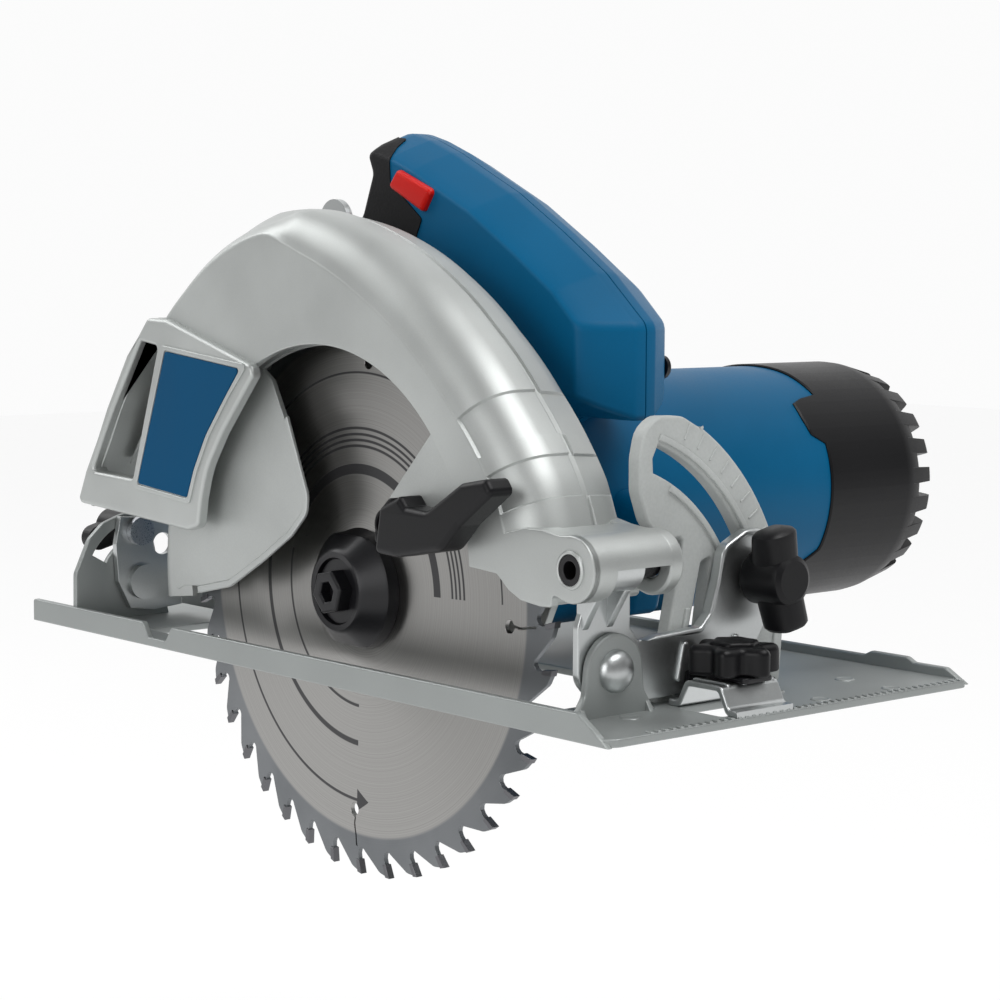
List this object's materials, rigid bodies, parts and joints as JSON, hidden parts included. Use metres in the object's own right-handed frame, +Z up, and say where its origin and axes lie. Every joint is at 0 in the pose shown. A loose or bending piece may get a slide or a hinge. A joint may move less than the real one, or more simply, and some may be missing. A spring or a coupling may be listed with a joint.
{
  "type": "circular saw",
  "caption": "Hand-held circular saw: D-handle over a guarded blade, motor at the side, pressed sole plate with bevel quadrant, depth hinge and swinging lower guard.",
  "frame": {"origin": "centre of the base plate's sole", "axes": "+X the cutting direction, +Y to the motor side, +Z up"},
  "size_m": [0.312, 0.258, 0.2468],
  "materials": {
    "plate_steel": "satin stainless sheet",
    "zinc": "bright zinc plating",
    "cast_light": "light grey enamel on die casting",
    "guard_cast": "satin die casting",
    "guard_steel": "light grey pressed steel",
    "blue_plastic": "fine-grained moulding",
    "black_plastic": "satin moulding",
    "soft_grip": "textured overmould",
    "red_plastic": "smooth moulding",
    "label_blue": "printed aluminium panel",
    "black_steel": "black oxide",
    "screw_steel": "zinc-plated fasteners",
    "blade_steel": "ground and lacquered",
    "carbide": "ground carbide",
    "gear_steel": "machined",
    "bronze": "sintered bush",
    "copper": "copper winding and bars",
    "lamination": "stacked laminations",
    "white_plastic": "glass-filled nylon",
    "carbon": "pressed carbon"
  },
  "bodies": {
    "base": {"base_plate": "plate_steel", "bevel_quadrant": "cast_light", "quadrant_bolts": "screw_steel", "guide_bridge": "zinc", "bevel_rivets": "zinc", "guide_clamp": "black_steel"},
    "guide_screw": {"guide_knob": "black_plastic"},
    "bevel_carriage": {"front_bracket": "zinc", "rear_bracket": "zinc", "depth_arc": "zinc", "bracket_rivets": "screw_steel", "depth_pivot_pin": "black_steel", "front_bevel_bolt": "screw_steel", "rear_bevel_bolt": "screw_steel"},
    "front_wing_knob": {"front_bevel_knob": "black_plastic"},
    "rear_wing_knob": {"rear_bevel_knob": "black_plastic"},
    "head": {"upper_guard": "guard_cast", "label_plate": "label_blue", "gear_housing": "guard_cast", "guard_screws": "screw_steel", "bearing_flange": "guard_cast", "spindle_bearing": "gear_steel", "spindle_bush": "bronze", "armature_bearings": "gear_steel", "motor_housing": "blue_plastic", "fan_cowl": "black_plastic", "cowl_screws": "screw_steel", "stator_core": "lamination", "field_coils": "copper", "brush_holders": "bronze", "carbon_brushes": "carbon", "handle_right": "blue_plastic", "handle_left": "blue_plastic", "handle_grip": "soft_grip", "handle_screws": "black_steel", "switch_module": "black_plastic", "cord_inlet": "soft_grip", "depth_clamp_bolt": "screw_steel", "guard_circlip": "black_steel", "guard_spring": "gear_steel"},
    "depth_clamp": {"depth_lever": "black_plastic"},
    "spindle_set": {"saw_blade": "blade_steel", "carbide_tips": "carbide", "inner_flange": "gear_steel", "outer_flange": "black_steel", "blade_bolt": "black_steel", "spindle": "gear_steel", "spindle_gear": "gear_steel"},
    "armature": {"armature_shaft": "gear_steel", "armature_core": "copper", "commutator": "copper", "cooling_fan": "white_plastic"},
    "swing_guard": {"lower_guard": "guard_steel", "guard_lever": "black_plastic", "lever_screw": "screw_steel"},
    "trigger_button": {"trigger": "black_plastic"},
    "lock_off": {"lock_off_button": "red_plastic"},
    "lock_button": {"spindle_lock": "red_plastic"}
  },
  "joints": [
    {"name": "guide_screw_turn", "type": "hinge", "parent": "base", "child": "guide_screw", "pos_m": [0.1415, -0.014, 0.013], "axis": [0, 0, 1], "range_deg": [0, 360]},
    {"name": "bevel_tilt", "type": "hinge", "parent": "base", "child": "bevel_carriage", "pos_m": [0.127, -0.0507, 0.0155], "axis": [1, 0, 0], "range_deg": [0, 45]},
    {"name": "front_knob_turn", "type": "hinge", "parent": "bevel_carriage", "child": "front_wing_knob", "pos_m": [0.1282, 0.00905, 0.03844], "axis": [1, 0, 0], "range_deg": [0, 180]},
    {"name": "rear_knob_turn", "type": "hinge", "parent": "bevel_carriage", "child": "rear_wing_knob", "pos_m": [-0.1299, -0.05236, 0.03443], "axis": [-1, 0, 0], "range_deg": [0, 180]},
    {"name": "depth_swing", "type": "hinge", "parent": "bevel_carriage", "child": "head", "pos_m": [0.133, -0.0507, 0.047], "axis": [0, 1, 0], "range_deg": [0, 32]},
    {"name": "depth_clamp_turn", "type": "hinge", "parent": "head", "child": "depth_clamp", "pos_m": [-0.05953, -0.024, 0.03354], "axis": [0, 1, 0], "range_deg": [0, 40]},
    {"name": "blade_spin", "type": "hinge", "parent": "head", "child": "spindle_set", "pos_m": [0.0095, -0.0507, 0.027], "axis": [0, 1, 0], "continuous": true},
    {"name": "armature_spin", "type": "hinge", "parent": "head", "child": "armature", "pos_m": [0.02335, 0.05, 0.05361], "axis": [0, 1, 0], "continuous": true},
    {"name": "guard_swing", "type": "hinge", "parent": "head", "child": "swing_guard", "pos_m": [0.0095, -0.0407, 0.027], "axis": [0, -1, 0], "range_deg": [0, 130]},
    {"name": "trigger_press", "type": "slide", "parent": "head", "child": "trigger_button", "axis": [-0.829, 0, 0.5592], "range_m": [0, 0.005], "stiffness_N_per_m": 900, "springref_m": -0.004},
    {"name": "lock_off_press", "type": "slide", "parent": "head", "child": "lock_off", "axis": [0, 1, 0], "range_m": [0, 0.003], "stiffness_N_per_m": 800, "springref_m": -0.003},
    {"name": "spindle_lock_press", "type": "slide", "parent": "head", "child": "lock_button", "axis": [-1, 0, 0], "range_m": [0, 0.005], "stiffness_N_per_m": 800, "springref_m": -0.003}
  ],
  "couplings": [
    {"joint": "armature_spin", "follows": "blade_spin", "ratio": -4}
  ]
}
